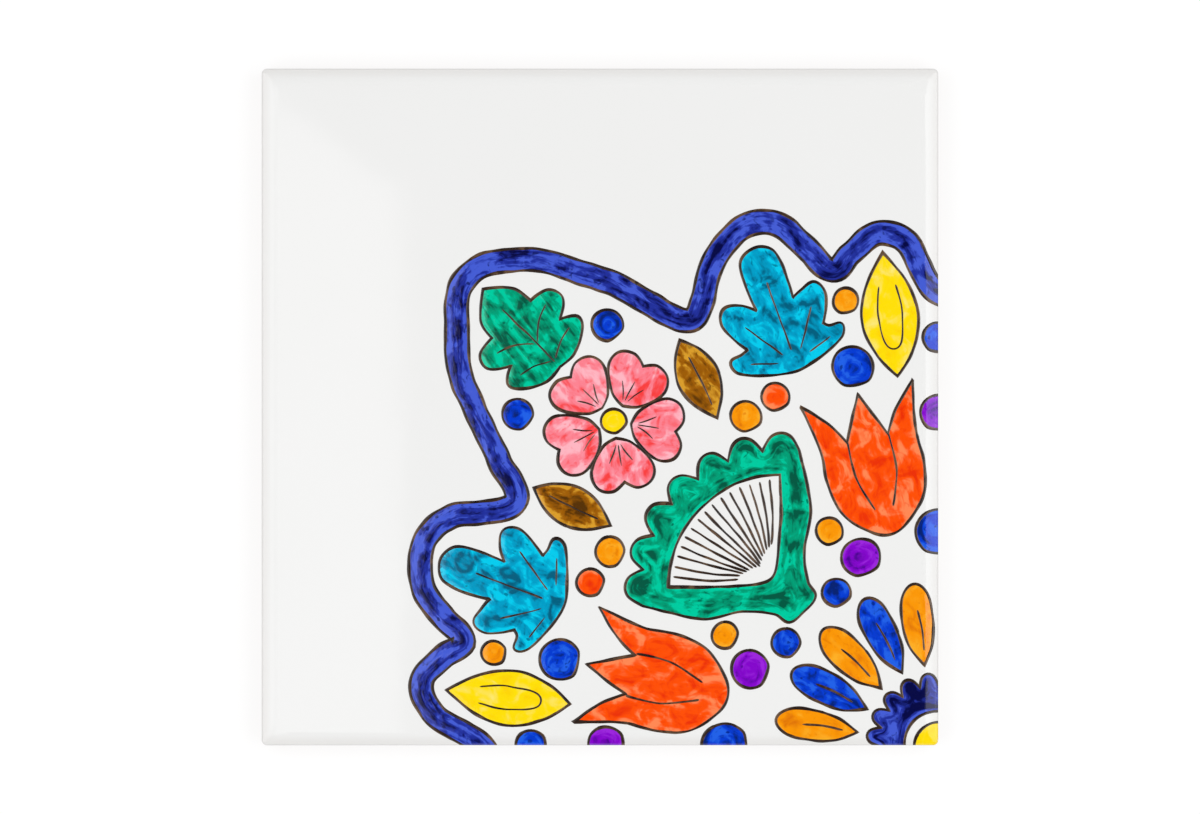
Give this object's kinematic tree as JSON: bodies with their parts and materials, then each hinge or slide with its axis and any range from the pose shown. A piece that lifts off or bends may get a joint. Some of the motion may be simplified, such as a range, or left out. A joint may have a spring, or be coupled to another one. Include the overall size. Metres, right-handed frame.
{
  "type": "azulejo tile",
  "caption": "Square glazed wall tile of red clay, with a cushioned edge, a keyed back and a brightly painted corner rosette on its white face.",
  "frame": {"origin": "centre of the square on the back's bedding plane", "axes": "+Z out of the back and through the glazed face; X and Y along the edges, with the painted corner at +X, -Y"},
  "size_m": [0.15, 0.15, 0.007],
  "materials": {
    "white_glaze": "gloss",
    "cobalt_paint": "gloss",
    "emerald_paint": "gloss",
    "turquoise_paint": "gloss",
    "brown_paint": "gloss",
    "orange_red_paint": "gloss",
    "yellow_paint": "gloss",
    "pink_paint": "gloss",
    "blue_paint": "gloss",
    "orange_paint": "gloss",
    "purple_paint": "gloss",
    "outline_paint": "gloss"
  },
  "bodies": {
    "root": {"glazed_tile": "white_glaze"}
  },
  "joints": []
}
